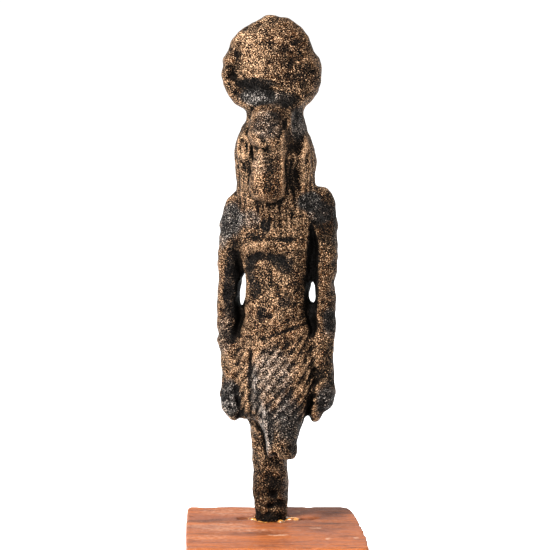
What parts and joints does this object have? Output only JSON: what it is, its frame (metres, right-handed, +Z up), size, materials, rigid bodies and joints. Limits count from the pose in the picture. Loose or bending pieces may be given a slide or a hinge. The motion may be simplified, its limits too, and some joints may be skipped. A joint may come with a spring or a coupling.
{
  "type": "thoth statuette",
  "caption": "Small cast bronze figure of a striding ibis-headed god with a moon disk and crescent, broken legs, set upright in a wooden block.",
  "frame": {"origin": "middle of the wooden block's underside, in the plane it stands on", "axes": "+Z up the figure, -Y the side that the figure faces, +X to the viewer's right from the front"},
  "size_m": [0.0362, 0.0334, 0.1251],
  "materials": {
    "bronze": "worn cast bronze, rough, dark grey to black patina broken by speckles of bare copper brown",
    "wood": "red-brown stained hardwood, matt, with scuffed grain and worn edges",
    "adhesive": "hardened amber glue, glossy"
  },
  "bodies": {
    "root": {"statuette": "bronze", "wooden_block": "wood"}
  },
  "joints": []
}
